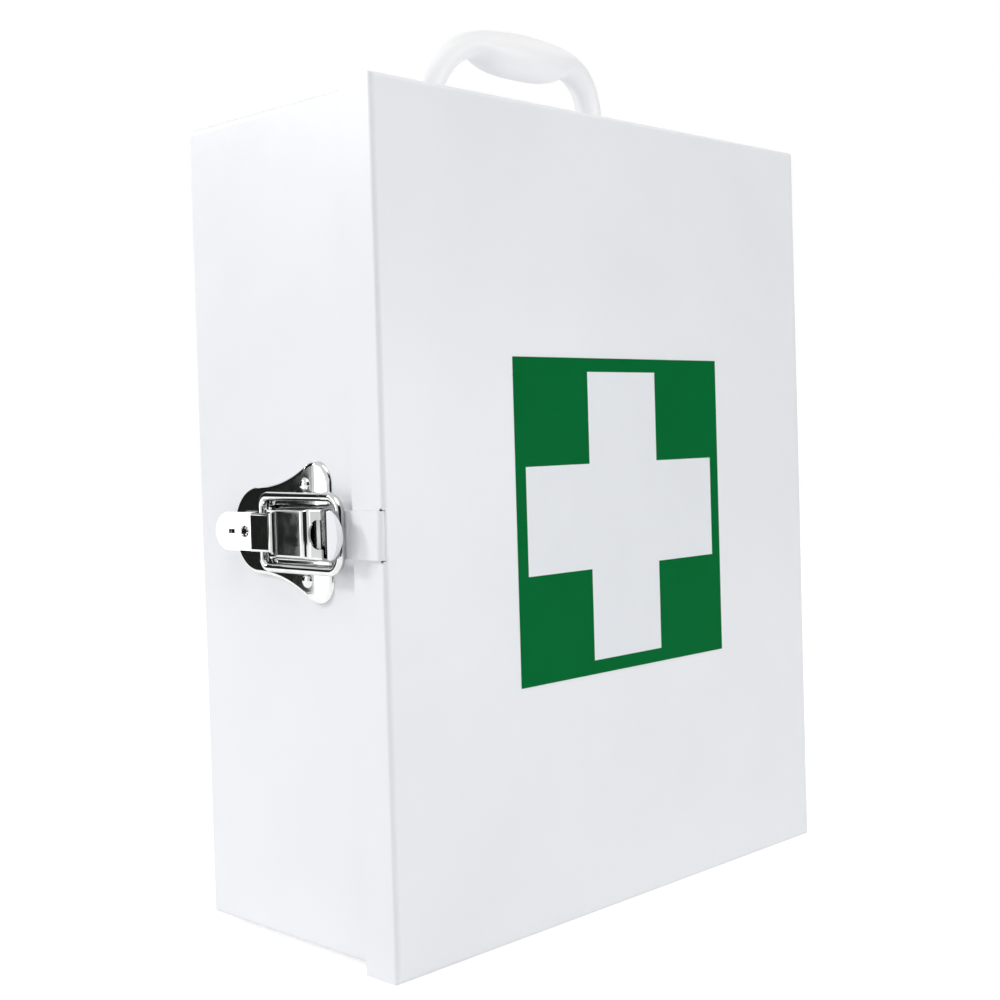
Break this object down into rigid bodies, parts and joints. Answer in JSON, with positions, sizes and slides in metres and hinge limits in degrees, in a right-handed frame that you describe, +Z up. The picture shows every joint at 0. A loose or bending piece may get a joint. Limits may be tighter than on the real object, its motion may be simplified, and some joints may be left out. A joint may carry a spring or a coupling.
{
  "type": "medicine cabinet",
  "caption": "Sheet steel wall and carry medicine cabinet with a hinged flanged door, top handle, fixed shelves and a lockable draw latch",
  "frame": {"origin": "centre of the four wall holes, on the outer face of the back panel", "axes": "+Z up, +Y into the wall, +X to the right as seen from the front; the door faces -Y"},
  "size_m": [0.3156, 0.1363, 0.4349],
  "materials": {
    "powder_coat": "white semi-gloss powder coat on folded steel",
    "moulded_handle": "white moulded polypropylene",
    "chrome_plate": "bright nickel-chrome plate on pressed steel",
    "zinc_plate": "bright zinc plate",
    "brass": "turned brass",
    "green_vinyl": "green calendered vinyl film",
    "white_vinyl": "white calendered vinyl film"
  },
  "bodies": {
    "cabinet": {"cabinet_wrap": "powder_coat", "back_panel": "powder_coat", "upper_shelf": "powder_coat", "lower_shelf": "powder_coat", "hinge_body_leaf": "powder_coat", "hinge_pin": "zinc_plate", "handle": "moulded_handle", "handle_inserts": "brass", "handle_screws": "zinc_plate", "handle_washers": "zinc_plate", "latch_base": "chrome_plate", "latch_bridge": "chrome_plate", "latch_rivets": "chrome_plate", "lever_pin": "chrome_plate", "lock_keeper": "zinc_plate"},
    "door": {"door_pan": "powder_coat", "hinge_door_leaf": "powder_coat", "strike_strap": "powder_coat", "sign_field": "green_vinyl", "sign_cross": "white_vinyl"},
    "lever": {"latch_lever": "chrome_plate", "lock_case": "zinc_plate", "lock_post": "chrome_plate"},
    "bail": {"bail_ring": "chrome_plate"},
    "lock_cam_body": {"lock_cam": "brass"}
  },
  "joints": [
    {"name": "door_swing", "type": "hinge", "parent": "cabinet", "child": "door", "pos_m": [0.1518, -0.1132, 0], "axis": [0, 0, 1], "range_deg": [0, 170]},
    {"name": "lever_lift", "type": "hinge", "parent": "cabinet", "child": "lever", "pos_m": [-0.1571, -0.066, -0.002], "axis": [0, 0, 1], "range_deg": [0, 105]},
    {"name": "bail_swing", "type": "hinge", "parent": "lever", "child": "bail", "pos_m": [-0.1541, -0.0545, -0.002], "axis": [0, 0, 1], "range_deg": [-91, 0]},
    {"name": "lock_turn", "type": "hinge", "parent": "lever", "child": "lock_cam_body", "pos_m": [-0.1525, -0.044, -0.002], "axis": [-1, 0, 0], "range_deg": [0, 90]}
  ],
  "couplings": [
    {"joint": "bail_swing", "follows": "lever_lift", "ratio": -0.86}
  ]
}
